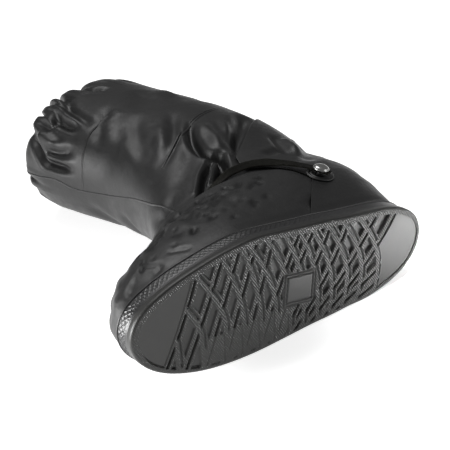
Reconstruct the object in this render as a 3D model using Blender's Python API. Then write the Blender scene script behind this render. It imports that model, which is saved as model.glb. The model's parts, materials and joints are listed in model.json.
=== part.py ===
"""Rain overshoe for a left foot, lying on its inner side.

A tall upper of black coated sheet is welded into a moulded rubber sole. A vamp panel and a heel panel
lie over the upper, and an elastic strap is pressed on to a snap at the outer side of the heel.

Sizes are in millimetres in the shoe's own frame: x runs from heel to toe, y to the outer side and z up
from the ground face of the sole. An empty then lays the shoe down as it rests.
"""
from bisect import bisect_right
from collections import namedtuple
from math import copysign, cos, pi, radians, sin

import bmesh
import bpy
import numpy as np
from mathutils import Matrix, Vector

MM = 0.001
GAP = 0.35                # clearance between pieces that touch

# Sole
LENGTH = 305.0
BALL_HALF_WIDTH = 52.4
SOLE_THICKNESS = 7.0
EDGE_ROUNDING = 3.0       # width of the bevel along the ground edge
EDGE_HEIGHT = 2.5
WELL_DEPTH = 2.6          # from the faces of the lugs to the floor between them
TOE_SPRING = 5.0
TOE_SPRING_START = 225.0
HEEL_RISE = 2.0
HEEL_RISE_END = 35.0

# Half width is fullness times that of an ellipse, and centre is how far the middle lies to the outer side
Outline = namedtuple("Outline", "station fullness centre")
OUTLINE = (
    Outline(0.0, 1.19, -4.0),
    Outline(0.1, 1.07, -6.0),
    Outline(0.2, 0.97, -7.0),
    Outline(0.3, 0.91, -5.0),
    Outline(0.4, 0.91, -3.0),
    Outline(0.5, 0.95, -1.3),
    Outline(0.6, 1.02, 0.0),
    Outline(0.7, 1.06, -0.5),
    Outline(0.8, 1.10, -1.0),
    Outline(0.9, 1.16, -1.0),
    Outline(1.0, 1.28, 0.0),
)

# Tread: slanting bands lean forward to the inner side, and sweeping bands curve forward to the outer side
RIM_WIDTH = 9.0           # plain rim round the tread
BAND_WIDTH = 7.5          # of each band, measured along the shoe
SLANT_OUTER_Y = 20.0      # the two lines along which the slanting bands are placed
SLANT_INNER_Y = -30.0
Slant = namedtuple("Slant", "outer_x inner_x")
SLANTS = (
    Slant(-4.0, 64.0),
    Slant(29.0, 86.0),
    Slant(56.0, 107.0),
    Slant(88.0, 128.0),
    Slant(110.0, 146.0),
    Slant(131.0, 159.0),
    Slant(147.0, 173.0),
    Slant(171.0, 192.0),
    Slant(190.0, 211.0),
    Slant(208.0, 232.0),
    Slant(226.0, 252.0),
    Slant(248.0, 275.0),
)
SWEEPS = (45.0, 64.0, 81.0, 97.0, 113.0, 129.0, 144.0, 158.0, 173.0, 191.0, 211.0, 236.0, 258.0)
Sweep = namedtuple("Sweep", "y forward")
SWEEP = (
    Sweep(-50.0, 4.0),
    Sweep(-30.0, 0.0),
    Sweep(-12.0, -0.5),
    Sweep(4.0, 2.5),
    Sweep(20.0, 10.0),
    Sweep(50.0, 26.0),
)
PANEL_CENTRE = (138.7, -9.8)
PANEL_SIZE = (35.0, 31.0)  # plain panel in the tread, with its border
PANEL_TURN = 9.5

# Foxing band round the edge of the sole, with a bead along its top
FOXING_LOW = SOLE_THICKNESS + GAP
FOXING_HIGH = 21.0
FOXING_THICKNESS = 3.4
FOXING_INSET = 0.8        # from the edge of the sole
BEAD = 1.6                # height of the bead, which overhangs by half of it

# Panels of sheet over the upper
PANEL_SHEET = 1.5
PANEL_GAP = 0.7           # between the faceted panels and the upper
PANEL_LOW = FOXING_HIGH + BEAD + PANEL_GAP

# Upper, from its welded lower edge to the gathered hem
WALL = 1.5
WELT_INSET = FOXING_INSET + FOXING_THICKNESS + GAP
WELT_FRONT = LENGTH - WELT_INSET
WELT_HALF_WIDTH = BALL_HALF_WIDTH - WELT_INSET
SPRING_FADE = 42.0        # height over which the spring of the sole fades out of the upper
SQUARENESS = 2.35         # exponent of the rounded sections, 2 being an ellipse
Section = namedtuple("Section", "back back_height front front_height half_width centre oval")
SECTIONS = (
    Section(WELT_INSET, FOXING_LOW, WELT_FRONT, FOXING_LOW, WELT_HALF_WIDTH, 0.0, 0.0),
    Section(WELT_INSET, PANEL_LOW, WELT_FRONT, PANEL_LOW, WELT_HALF_WIDTH, 0.0, 0.0),
    Section(0.0, 38.0, 299.0, 36.0, 49.0, 0.5, 0.12),
    Section(-4.0, 55.0, 293.0, 50.0, 49.5, 1.0, 0.30),
    Section(-8.0, 72.0, 283.0, 63.0, 48.5, 2.0, 0.48),
    Section(-11.0, 90.0, 268.0, 74.0, 47.5, 2.5, 0.64),
    Section(-11.2, 108.0, 250.0, 84.0, 46.0, 2.5, 0.78),
    Section(-8.6, 124.0, 230.0, 97.0, 44.5, 2.0, 0.88),
    Section(-6.2, 140.0, 211.0, 113.0, 44.5, 1.5, 0.95),
    Section(-6.0, 157.0, 195.0, 132.0, 46.0, 1.0, 1.0),
    Section(-9.0, 177.0, 182.0, 157.0, 49.5, 0.0, 1.0),
    Section(-10.0, 202.0, 168.0, 188.0, 54.0, 0.0, 1.0),
    Section(-8.0, 236.0, 162.0, 224.0, 58.5, 0.0, 1.0),
    Section(-3.0, 273.0, 162.0, 260.0, 60.0, 0.0, 1.0),
    Section(13.0, 346.0, 177.0, 329.0, 61.0, 0.0, 1.0),
    Section(19.0, 378.0, 182.0, 357.0, 61.0, 0.0, 1.0),
    Section(24.0, 399.0, 181.0, 375.0, 58.0, 0.0, 1.0),
    Section(33.0, 413.0, 174.0, 387.0, 51.0, 0.0, 1.0),
    Section(45.0, 420.0, 162.0, 394.0, 43.0, 0.0, 1.0),
)

# The floor in the shoe's frame: it falls away to the inner side towards the toe and towards the hem
REST_TWIST = -0.037       # y for each millimetre of x
REST_LEAN = -0.0265       # y for each millimetre of z
REST_SOFTNESS = 0.7       # how softly the upper flattens on the floor

# Edges of the panels: up the side seam, then along the top
SideEdge = namedtuple("SideEdge", "height station")
TopEdge = namedtuple("TopEdge", "station height")
VAMP_REAR = (SideEdge(PANEL_LOW, 107.0), SideEdge(76.0, 62.0))
VAMP_TOP = (
    TopEdge(62.0, 76.0),
    TopEdge(67.0, 96.0),
    TopEdge(80.0, 114.0),
    TopEdge(100.0, 124.0),
    TopEdge(125.0, 125.0),
    TopEdge(150.0, 121.0),
    TopEdge(172.0, 119.0),
    TopEdge(190.0, 126.0),
    TopEdge(201.0, 136.0),
)
HEEL_FRONT = (
    SideEdge(PANEL_LOW, 105.0),
    SideEdge(71.0, 64.3),
    SideEdge(76.0, 60.0),
    SideEdge(97.0, 64.5),
    SideEdge(115.0, 77.0),
    SideEdge(127.0, 95.0),
    SideEdge(150.0, 88.5),
)
HEEL_TOP = (
    TopEdge(-14.0, 240.0),
    TopEdge(3.0, 226.0),
    TopEdge(60.0, 174.0),
    TopEdge(88.5, 150.0),
)

# Strap and snap
STRAP_WIDTH = 8.5
STRAP_THICKNESS = 1.6
StrapPoint = namedtuple("StrapPoint", "station height stand_off")
STRAP = (
    StrapPoint(127.0, 130.5, 0.5),
    StrapPoint(112.0, 133.0, 1.7),
    StrapPoint(97.0, 132.5, 2.7),
    StrapPoint(80.0, 125.0, 2.8),
    StrapPoint(66.0, 108.0, 3.6),
    StrapPoint(55.0, 88.0, 5.6),
    StrapPoint(46.0, 70.0, 6.6),
)
SNAP_SHARE = 0.93         # place of the snap along the strap
CAP_RADIUS = 7.5
CAP_HEIGHT = 3.6
CAP_RIM = 0.25            # share of the cap's height below its dome
CAP_FOOT = 0.9            # radius where the cap meets the strap, as a share
DOME_RINGS = 4
STUD_RADIUS = 4.5
STUD_NECK = 0.7           # radius at the top of the stud, as a share
PATCH_RADIUS = 13.0
PATCH_THICKNESS = 1.0

# Mesh fineness
TURNS = 56
FINER_CLIMBS = (1.5, 2.5, 3.5, 4.5, 5.5, 6.5, 7.5)  # between sections, round the toe and the instep
VAMP_ROWS = 11
VAMP_COLUMNS = 41
HEEL_ROWS = 16
HEEL_COLUMNS = 19
STRAP_STEPS = 20
ROUND_SIDES = 20
HALVINGS = 40             # of the span in which a place is sought


class Curve:
    """A smooth curve through a table's rows, from one column to another, that never overshoots them."""

    def __init__(self, keys, values):
        self.keys = [float(key) for key in keys]
        self.values = [float(value) for value in values]
        secants = (np.diff(self.values) / np.diff(self.keys)).tolist()
        inner = [2 * a * b / (a + b) if a * b > 0 else 0.0 for a, b in zip(secants, secants[1:])]
        self.slopes = [secants[0], *inner, secants[-1]]

    def __call__(self, key):
        low = min(max(bisect_right(self.keys, key) - 1, 0), len(self.keys) - 2)
        span = self.keys[low + 1] - self.keys[low]
        t = min(max((key - self.keys[low]) / span, 0.0), 1.0)
        rise = self.values[low + 1] - self.values[low]
        first = self.slopes[low] * span
        second = self.slopes[low + 1] * span
        bend = (1 - t) * (first - rise) + t * (rise - second)
        return self.values[low] + t * rise + t * (1 - t) * bend


def curves(rows, key=None):
    """One curve for each other column, over the key column or over the row's number."""
    columns = dict(zip(rows[0]._fields, zip(*rows)))
    keys = columns.pop(key) if key else range(len(rows))
    return {name: Curve(keys, values) for name, values in columns.items()}


def mix(low, high, share):
    return low + (high - low) * share


def solve(function, low, high):
    """Where a rising function passes zero."""
    for _ in range(HALVINGS):
        middle = (low + high) / 2
        if function(middle) < 0:
            low = middle
        else:
            high = middle
    return (low + high) / 2


outline_curves = curves(OUTLINE, "station")
section_curves = curves(SECTIONS)
sweep_curve = curves(SWEEP, "y")["forward"]


def edge_of_sole(turn):
    """Sole outline at a share of a turn: 0 at the heel, a quarter on the outer side, a half at the toe."""
    station = (1 - cos(2 * pi * turn)) / 2
    half_width = BALL_HALF_WIDTH * outline_curves["fullness"](station) * sin(2 * pi * turn)
    return Vector((LENGTH * station, half_width + outline_curves["centre"](station), 0.0))


def inset_edge(turn, inset):
    step = 0.0005
    along = (edge_of_sole(turn + step) - edge_of_sole(turn - step)).normalized()
    return edge_of_sole(turn) + Vector((along.y, -along.x, 0.0)) * inset


def lift(x):
    """Rise of the sole towards the toe and, a little, at the heel."""
    toe = max(0.0, (x - TOE_SPRING_START) / (LENGTH - TOE_SPRING_START))
    heel = max(0.0, (HEEL_RISE_END - x) / HEEL_RISE_END)
    return TOE_SPRING * toe ** 2 + HEEL_RISE * heel ** 2


# The floor touches the edge of the sole at the top of its ground bevel
turn_shares = [i / TURNS for i in range(TURNS)]
rest_offset = min(
    edge.y - REST_TWIST * edge.x - REST_LEAN * (EDGE_HEIGHT + lift(edge.x))
    for edge in map(edge_of_sole, turn_shares)
)


def floor_y(x, z):
    return rest_offset + REST_TWIST * x + REST_LEAN * z


def rounded(value):
    return copysign(abs(value) ** (2 / SQUARENESS), value)


def upper_point(turn, climb):
    """Outside of the upper. Climb counts the sections, from 0 at the welt."""
    row = {name: curve(climb) for name, curve in section_curves.items()}
    foot = inset_edge(turn, WELT_INSET)
    foot_share = (foot.x - WELT_INSET) / (WELT_FRONT - WELT_INSET)
    foot_side = foot.y / WELT_HALF_WIDTH
    oval_share = (1 - rounded(cos(2 * pi * turn))) / 2
    share = mix(foot_share, oval_share, row["oval"])
    side = mix(foot_side, rounded(sin(2 * pi * turn)), row["oval"])
    x = mix(row["back"], row["front"], share)
    y = side * row["half_width"] + row["centre"]
    z = mix(row["back_height"], row["front_height"], share)
    z += lift(x) * max(0.0, 1 - max(0.0, z - FOXING_HIGH) / SPRING_FADE)
    floor = floor_y(x, z)
    y = floor + REST_SOFTNESS * np.logaddexp(0.0, (y - floor) / REST_SOFTNESS)
    return Vector((x, y, z))


def upper_normal(turn, climb):
    step_turn = 0.002
    step_climb = 0.02
    low = max(climb - step_climb, 0.0)
    high = min(climb + step_climb, len(SECTIONS) - 1)
    up = upper_point(turn, high) - upper_point(turn, low)
    along = upper_point(turn + step_turn, climb) - upper_point(turn - step_turn, climb)
    return up.cross(along).normalized()


def beside_upper(turn, climb, distance):
    return upper_point(turn, climb) + upper_normal(turn, climb) * distance


def climb_at(turn, height):
    return solve(lambda climb: upper_point(turn, climb).z - height, 0.0, len(SECTIONS) - 1.0)


def turn_at(station, height):
    """Turn on the outer side where the upper reaches a station at a height."""
    return solve(lambda turn: upper_point(turn, climb_at(turn, height)).x - station, 0.0, 0.5)


def material(name, colour, roughness, metallic=0.0):
    made = bpy.data.materials.new(name)
    made.use_nodes = True
    shader = made.node_tree.nodes["Principled BSDF"]
    shader.inputs["Base Color"].default_value = (*colour, 1.0)
    shader.inputs["Roughness"].default_value = roughness
    shader.inputs["Metallic"].default_value = metallic
    return made


def add(name, points, faces, made_of, smooth_angle=35.0):
    """A closed piece from points in millimetres."""
    mesh = bpy.data.meshes.new(name)
    mesh.from_pydata([tuple(point * MM) for point in points], [], faces)
    work = bmesh.new()
    work.from_mesh(mesh)
    bmesh.ops.recalc_face_normals(work, faces=work.faces)
    bmesh.ops.triangulate(work, faces=work.faces)
    work.to_mesh(mesh)
    work.free()
    mesh.shade_smooth()
    mesh.set_sharp_from_angle(angle=radians(smooth_angle))
    piece = bpy.data.objects.new(name, mesh)
    bpy.context.collection.objects.link(piece)
    if made_of:
        mesh.materials.append(made_of)
    return piece


def tube_faces(rows, columns, wrap_rows):
    """Quads between rows of points that each close on themselves."""
    faces = []
    for i in range(rows if wrap_rows else rows - 1):
        for j in range(columns):
            k = (i + 1) % rows
            n = (j + 1) % columns
            faces.append((i * columns + j, k * columns + j, k * columns + n, i * columns + n))
    return faces


def sheet_faces(rows, columns):
    """Outer grid, inner grid and the four edges of a patch with a thickness."""
    half = rows * columns
    faces = []
    for i in range(rows - 1):
        for j in range(columns - 1):
            a, b = i * columns + j, (i + 1) * columns + j
            faces.append((a, b, b + 1, a + 1))
            faces.append((half + a, half + a + 1, half + b + 1, half + b))
    for j in range(columns - 1):
        top = (rows - 1) * columns + j
        faces.append((j, j + 1, half + j + 1, half + j))
        faces.append((top, half + top, half + top + 1, top + 1))
    for i in range(rows - 1):
        a, b = i * columns, (i + 1) * columns
        faces.append((a, half + a, half + b, b))
        end = columns - 1
        faces.append((a + end, b + end, half + b + end, half + a + end))
    return faces


def turned(name, profile, centre, axis, made_of):
    """A round piece from (radius, height) rows, closed at both ends on its axis."""
    across = axis.orthogonal().normalized()
    other = axis.cross(across)
    points = []
    for radius, height in profile:
        for i in range(ROUND_SIDES):
            angle = 2 * pi * i / ROUND_SIDES
            points.append(centre + axis * height + (across * cos(angle) + other * sin(angle)) * radius)
    faces = tube_faces(len(profile), ROUND_SIDES, wrap_rows=False)
    faces.append(tuple(range(ROUND_SIDES)))
    faces.append(tuple(range(len(points) - ROUND_SIDES, len(points))))
    return add(name, points, faces, made_of)


def outsole_plate(made_of):
    """Moulded plate with its ground edge rounded off. Strips across close the top and the bottom."""
    points = []
    for inset, height in ((EDGE_ROUNDING, 0.0), (0.0, EDGE_HEIGHT), (0.0, SOLE_THICKNESS)):
        for turn in turn_shares:
            point = inset_edge(turn, inset)
            point.z = height + lift(point.x)
            points.append(point)
    faces = tube_faces(3, TURNS, wrap_rows=False)
    for start in (0, 2 * TURNS):
        for i in range(TURNS // 2):
            strip = (i, i + 1, (TURNS - i - 1) % TURNS, (TURNS - i) % TURNS)
            faces.append(tuple(dict.fromkeys(start + corner for corner in strip)))
    return add("outsole", points, faces, made_of)


def prisms(name, outlines, low, high):
    """Upright prisms on flat outlines, as a cutter. Their tops follow the spring of the sole."""
    points = []
    faces = []
    for outline in outlines:
        start = len(points)
        count = len(outline)
        points += [Vector((x, y, low)) for x, y in outline]
        points += [Vector((x, y, high + lift(x))) for x, y in outline]
        faces += [
            (start + i, start + (i + 1) % count, start + count + (i + 1) % count, start + count + i)
            for i in range(count)
        ]
        faces.append(tuple(range(start, start + count)))
        faces.append(tuple(range(start + count, start + 2 * count)))
    cutter = add(name, points, faces, None)
    cutter.hide_render = True
    cutter.display_type = "WIRE"
    return cutter


def cut(piece, cutter, operation):
    modifier = piece.modifiers.new(cutter.name, "BOOLEAN")
    modifier.object = cutter
    modifier.operation = operation
    modifier.solver = "EXACT"


def slant_x(row, y):
    return mix(row.outer_x, row.inner_x, (SLANT_OUTER_Y - y) / (SLANT_OUTER_Y - SLANT_INNER_Y))


def crossing(slant, slant_shift, sweep, sweep_shift):
    """Where an edge of a slanting band meets an edge of a sweeping band."""

    def ahead(y):
        return sweep + sweep_shift + sweep_curve(y) - slant_x(slant, y) - slant_shift

    y = solve(ahead, -2 * BALL_HALF_WIDTH, 2 * BALL_HALF_WIDTH)
    return (slant_x(slant, y) + slant_shift, y)


def tread_wells():
    """The wells that neighbouring bands leave between them."""
    wells = []
    for behind, ahead in zip(SLANTS, SLANTS[1:]):
        for rear, front in zip(SWEEPS, SWEEPS[1:]):
            corners = (
                crossing(behind, BAND_WIDTH, rear, BAND_WIDTH),
                crossing(behind, BAND_WIDTH, front, 0.0),
                crossing(ahead, 0.0, front, 0.0),
                crossing(ahead, 0.0, rear, BAND_WIDTH),
            )
            if any(abs(y) < BALL_HALF_WIDTH for _, y in corners):
                wells.append(corners)
    return wells


def size_panel():
    """Corners of the plain panel in the tread."""
    turn = Matrix.Rotation(radians(PANEL_TURN), 2)
    half = Vector(PANEL_SIZE) / 2
    signs = ((1, 1), (-1, 1), (-1, -1), (1, -1))
    return [tuple(Vector(PANEL_CENTRE) + turn @ Vector((half.x * a, half.y * b))) for a, b in signs]


def outsole(made_of):
    sole = outsole_plate(made_of)
    wells = prisms("tread_wells", tread_wells(), -WELL_DEPTH, WELL_DEPTH)
    inner_edge = [inset_edge(turn, RIM_WIDTH).to_2d() for turn in turn_shares]
    rear = SWEEPS[0]
    field = [
        (x, y) for x, y in inner_edge
        if min(rear, slant_x(SLANTS[1], y)) < x < slant_x(SLANTS[-1], y)
    ]
    tread_field = prisms("tread_field", [field], -2 * WELL_DEPTH, 2 * WELL_DEPTH + TOE_SPRING)
    panel = prisms("size_panel", [size_panel()], -2 * WELL_DEPTH, 2 * WELL_DEPTH + TOE_SPRING)
    cut(wells, tread_field, "INTERSECT")
    cut(wells, panel, "DIFFERENCE")
    cut(sole, wells, "DIFFERENCE")
    return sole


def foxing_band(made_of):
    inner = FOXING_INSET + FOXING_THICKNESS
    section = (
        (FOXING_INSET, FOXING_LOW),
        (FOXING_INSET, FOXING_HIGH),
        (FOXING_INSET - BEAD / 2, FOXING_HIGH + BEAD / 3),
        (FOXING_INSET, FOXING_HIGH + BEAD),
        (inner, FOXING_HIGH + BEAD),
        (inner, FOXING_LOW),
    )
    points = []
    for inset, height in section:
        for turn in turn_shares:
            point = inset_edge(turn, inset)
            point.z = height + lift(point.x)
            points.append(point)
    return add("foxing_band", points, tube_faces(len(section), TURNS, wrap_rows=True), made_of)


def upper(made_of):
    climbs = sorted([*range(len(SECTIONS)), *FINER_CLIMBS])
    rows = [(climb, 0.0) for climb in climbs]
    rows += [(climb, -WALL) for climb in reversed(climbs)]
    points = [beside_upper(turn, climb, depth) for climb, depth in rows for turn in turn_shares]
    return add("upper", points, tube_faces(len(rows), TURNS, wrap_rows=True), made_of)


def panel(name, side_edge, top_edge, at_toe, rows, columns, made_of):
    """A panel cut between two larger forms of the upper, alike on the outer and the inner side."""
    station = curves(side_edge, "height")["station"]
    top_height = curves(top_edge, "station")["height"]
    low = side_edge[0].height
    corner = side_edge[-1].height

    def below_top(turn, climb):
        point = upper_point(turn, climb)
        return point.z - top_height(point.x)

    def turns_at(height):
        side = turn_at(station(height), height)
        other = 1 - side if at_toe else -side
        return np.linspace(side, other, columns).tolist()

    tops = []
    for turn in turns_at(corner):
        climb = solve(lambda climb: below_top(turn, climb), 0.0, len(SECTIONS) - 1.0)
        tops.append(upper_point(turn, climb).z)
    places = []
    for up in np.linspace(0.0, 1.0, rows).tolist():
        for turn, top in zip(turns_at(mix(low, corner, up)), tops):
            lowest = low + lift(upper_point(turn, 1.0).x)
            places.append((turn, climb_at(turn, mix(lowest, top, up))))
    faces_at = (PANEL_GAP + PANEL_SHEET, PANEL_GAP)
    points = [beside_upper(*place, distance) for distance in faces_at for place in places]
    return add(name, points, sheet_faces(rows, columns), made_of)


def strap_frame(share):
    """Point on the upper, the way along the strap and the way out, at a share of its length."""
    table = curves(STRAP)

    def on_upper(at):
        row = at * (len(STRAP) - 1)
        turn = turn_at(table["station"](row), table["height"](row))
        climb = climb_at(turn, table["height"](row))
        return beside_upper(turn, climb, table["stand_off"](row)), upper_normal(turn, climb)

    step = 0.01
    point, out = on_upper(share)
    along = on_upper(min(share + step, 1.0))[0] - on_upper(max(share - step, 0.0))[0]
    across = out.cross(along).normalized()
    return point, across, out


def strap(made_of):
    points = []
    for i in range(STRAP_STEPS + 1):
        point, across, out = strap_frame(i / STRAP_STEPS)
        for side, rise in ((-1, 0), (1, 0), (1, 1), (-1, 1)):
            points.append(point + across * (side * STRAP_WIDTH / 2) + out * (rise * STRAP_THICKNESS))
    faces = tube_faces(STRAP_STEPS + 1, 4, wrap_rows=False)
    faces.append((0, 1, 2, 3))
    faces.append(tuple(range(len(points) - 4, len(points))))
    return add("strap", points, faces, made_of)


def snap_pieces(metal, sheet):
    """Welded patch and stud on the heel panel, and the domed cap on the strap over them."""
    point, _, out = strap_frame(SNAP_SHARE)
    stand_off = curves(STRAP)["stand_off"](SNAP_SHARE * (len(STRAP) - 1))
    patch_low = PANEL_GAP + PANEL_SHEET + GAP - stand_off
    patch_high = patch_low + PATCH_THICKNESS
    neck = STUD_RADIUS * STUD_NECK
    stud = ((STUD_RADIUS, patch_high + GAP), (neck, -2 * GAP), (neck, -GAP))
    cap_low = STRAP_THICKNESS + 2 * GAP
    cap = [(CAP_RADIUS * CAP_FOOT, cap_low)]
    for i in range(DOME_RINGS):
        angle = pi / 2 * i / DOME_RINGS
        cap.append((CAP_RADIUS * cos(angle), cap_low + CAP_HEIGHT * mix(CAP_RIM, 1.0, sin(angle))))
    return [
        turned("snap_patch", ((PATCH_RADIUS, patch_low), (PATCH_RADIUS, patch_high)), point, out, sheet),
        turned("snap_stud", stud, point, out, metal),
        turned("snap_cap", cap, point, out, metal),
    ]


def clear_scene():
    for piece in list(bpy.data.objects):
        bpy.data.objects.remove(piece)


def lay_down(pieces):
    """Turn the floor plane level and put the origin under the middle of the shoe."""
    up = Vector((-REST_TWIST, 1.0, -REST_LEAN)).normalized()
    right = Vector((-1.0, 0.0, 0.0))
    right = (right - up * right.dot(up)).normalized()
    turn = Matrix((right, up.cross(right), up))
    corners = [turn @ vertex.co for piece in pieces for vertex in piece.data.vertices]
    low = [min(corner[axis] for corner in corners) for axis in range(3)]
    high = [max(corner[axis] for corner in corners) for axis in range(3)]
    pose = bpy.data.objects.new("shoe_pose", None)
    bpy.context.collection.objects.link(pose)
    to_origin = Vector((-(low[0] + high[0]) / 2, -(low[1] + high[1]) / 2, -low[2]))
    pose.matrix_world = Matrix.Translation(to_origin) @ turn.to_4x4()
    for piece in bpy.data.objects:
        if piece is not pose:
            piece.parent = pose


clear_scene()
sheet = material("coated_sheet", (0.022, 0.022, 0.024), 0.42)
rubber = material("sole_rubber", (0.030, 0.030, 0.032), 0.38)
webbing = material("elastic_webbing", (0.035, 0.030, 0.024), 0.85)
metal = material("plated_snap", (0.75, 0.75, 0.75), 0.15, 1.0)
pieces = [
    outsole(rubber),
    foxing_band(rubber),
    upper(sheet),
    panel("vamp_panel", VAMP_REAR, VAMP_TOP, True, VAMP_ROWS, VAMP_COLUMNS, sheet),
    panel("heel_panel", HEEL_FRONT, HEEL_TOP, False, HEEL_ROWS, HEEL_COLUMNS, sheet),
    strap(webbing),
    *snap_pieces(metal, sheet),
]
lay_down(pieces)
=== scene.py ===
"""A rain overshoe for a left foot, lying on its inner side with its sole towards the camera.

Sizes are in millimetres in the shoe's own frame: x runs from heel to toe, y to the outer side and z up from
the ground face of the sole. A turn goes round the shoe: 0 at the heel, 90 degrees on the outer side and 180
at the toe or the front of the shaft.
"""
import json
from collections import namedtuple
from math import radians

import bmesh
import bpy
import numpy as np
from mathutils import Matrix, Vector
from mathutils.kdtree import KDTree


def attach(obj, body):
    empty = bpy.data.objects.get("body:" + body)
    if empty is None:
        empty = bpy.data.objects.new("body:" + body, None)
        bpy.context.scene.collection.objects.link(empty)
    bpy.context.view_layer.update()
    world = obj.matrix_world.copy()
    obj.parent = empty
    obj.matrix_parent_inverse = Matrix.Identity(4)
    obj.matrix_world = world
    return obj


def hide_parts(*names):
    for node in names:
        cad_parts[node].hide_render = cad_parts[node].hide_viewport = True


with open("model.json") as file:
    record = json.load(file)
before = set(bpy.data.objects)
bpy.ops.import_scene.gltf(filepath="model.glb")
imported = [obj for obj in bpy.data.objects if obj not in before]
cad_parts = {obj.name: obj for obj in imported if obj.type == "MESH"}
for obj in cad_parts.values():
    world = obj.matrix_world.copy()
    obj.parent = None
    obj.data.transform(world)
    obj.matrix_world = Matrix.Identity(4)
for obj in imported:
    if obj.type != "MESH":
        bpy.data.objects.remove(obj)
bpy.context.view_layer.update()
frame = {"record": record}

# Outsole
# A plate of black rubber with a raised toe and a rounded ground edge. Its tread is hatched bands that
# cross, with smooth wells between them, a bare panel, and a smooth patch at toe and heel, all cast in one.
MM = 0.001
SOLE_LENGTH = 305.0
BALL_HALF_WIDTH = 52.4
SOLE_THICKNESS = 7.0
SOLE_EDGE = ((2.4, 0.0), (1.5, 0.12), (0.8, 0.5), (0.25, 1.2), (0.0, 2.2), (0.0, SOLE_THICKNESS))
TOE_SPRING = 5.0
TOE_SPRING_START = 225.0
HEEL_RISE = 1.2
HEEL_RISE_END = 35.0


def table(columns, *rows):
    """Rows of numbers under the names of their columns."""
    named = namedtuple("Row", columns)
    return [named(*row) for row in rows]


SOLE_OUTLINE = table(
    "station fullness centre",  # fullness: half width as a share of an ellipse's
    (0, 1.19, -4), (0.1, 1.07, -6), (0.2, 0.97, -7), (0.3, 0.91, -5), (0.4, 0.91, -3),
    (0.5, 0.95, -1.3), (0.6, 1.02, 0), (0.7, 1.06, -0.5), (0.8, 1.10, -1), (0.9, 1.16, -1),
    (1, 1.28, 0),
)
# Plain rim round the tread, and the share of a full groove cut along its inner edge
SOLE_RIM = table(
    "turn width groove",
    (0, 4, 1), (0.06, 4.8, 0), (0.14, 6.4, 0), (0.42, 6.4, 0), (0.52, 6, 0),
    (0.57, 4.8, 1), (0.66, 4, 1), (1, 4, 1),
)
RIM_GROOVE_DEPTH = 1.2
THIN = 0.6  # half width of the thin grooves: inside the rim, in the panel and on the filled side
WELL_DEPTHS = (3.0, 1.7)  # in the heel half and in the toe half
WELL_CHANGE_X = 130.0  # where the depth begins to change, and the length over which it does
WELL_CHANGE_RUN = 70.0
SLOT_DEPTH = 3.2
GROOVE_DEPTH = 2.0
PATCH_DEPTH = 0.8
WALL_SLOPE = 0.7  # width over which the side of a well or slot slopes
# Bands slant forward to the inner side: each has a slot at its rear edge, and a narrow rib behind the slot
SLANT_BAND = 6.7
SLANT_SLOT = 2.3
RIB = 2.8
SLANT_ROWS_Y = (20.0, -10.0, -40.0)
SLANTS = (  # x of each slot's rear edge on three lines across the shoe
    (-40, -5, 61), (-15, 24, 83.5), (29, 58.5, 101), (55.5, 84, 119), (87.5, 109, 137.5),
    (109.5, 129, 151.5), (130.6, 148, 163), (146.2, 163, 178.5), (171, 183.3, 197),
    (190.1, 203.2, 216.2), (208.3, 222.3, 237), (226, 241.5, 258), (248.3, 263, 280),
)
HEEL_SLANT = 2  # the slot that ends the heel patch on the outer side
HEEL_BORDER = 0.4  # from that slot, or the first groove, to the patch
HEEL_BULGE = 0.9  # the heel patch is a little round along the shoe
HEEL_BULGE_X = 24.0
HEEL_BULGE_REACH = 27.0
TOE_BAND = 4.2  # from the last slot to the toe patch
# Other bands sweep forward to the outer side, each with a groove at its rear edge
SWEEP_BAND = 5.8
GROOVE_HALF_WIDTH = 0.7
SWEEP_MIDDLE_Y = -15.0
SWEEP_OUTER = 50.0  # from the middle to where the outer rise is measured, and the inner rise
SWEEP_INNER = 25.0
SWEEP_BEND = 1.7  # exponent of the rise
SWEEPS = table(
    "x outer_rise inner_rise",  # x at the middle, and how much further forward it runs
    (48, 19.7, 5), (67, 17.3, 6), (83.3, 16.4, 6), (101, 14.4, 3), (116.8, 11.6, 1.7),
    (131, 11.6, 3), (146, 13.2, 2), (161.7, 14.7, 1.3), (178, 8.5, 1),
    (195.3, 11.2, 1.5), (214, 20.3, 1), (238.3, 28.8, 0), (262, 35, 0.5),
)
FLUSH_FROM_X = 152.0  # on the inner side between these the wells are filled and the slots thin
FLUSH_TO_X = 244.0
FLUSH_Y = -19.5
FLUSH_RAMP = 1.2
FLUSH_SLOT = 1.2
FLUSH_SLOT_DEPTH = 0.8
FLUSH_GROOVE = 4.0  # how far a groove runs on there, and the length over which it ends
FLUSH_GROOVE_END = 6.0
FLUSH_LINE_DEPTH = 0.7  # a thin groove is left along a sweeping band's front edge
PANEL_CENTRE = (138.7, -9.8)
PANEL_SIZE = (35.0, 31.0)
PANEL_TURN = 9.5
PANEL_GROOVES = (1.1, 3.9)  # inside the edge of its border
PANEL_PLATE = 4.9  # from that edge to the plate
HATCH_ACROSS = (0.86, -0.51)
HATCH_PITCH = 1.9
HATCH_HEIGHT = 0.2
HATCHED_TO = 0.6  # depth at which the hatching has run out
FLUSH_HATCHED_TO = 0.5
EDGE_HATCHED = 0.5  # share of the hatching that runs on over the rounded edge
EDGE_HATCHED_ROWS = 2
POLISH = 0.14  # how much less rough the smooth patches are
POLISHED_FROM = 1.5  # depth below which the floors of the wells are smooth too, by a share
WELL_POLISH = 0.5
SOLE_ROWS = 520
SOLE_COLUMNS = 168
ENDS_CLOSER = 0.4  # how much the rows crowd at the heel and the toe
TIP = 0.0004  # share of the length left over at each end
EDGE_SAMPLES = 3000

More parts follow.
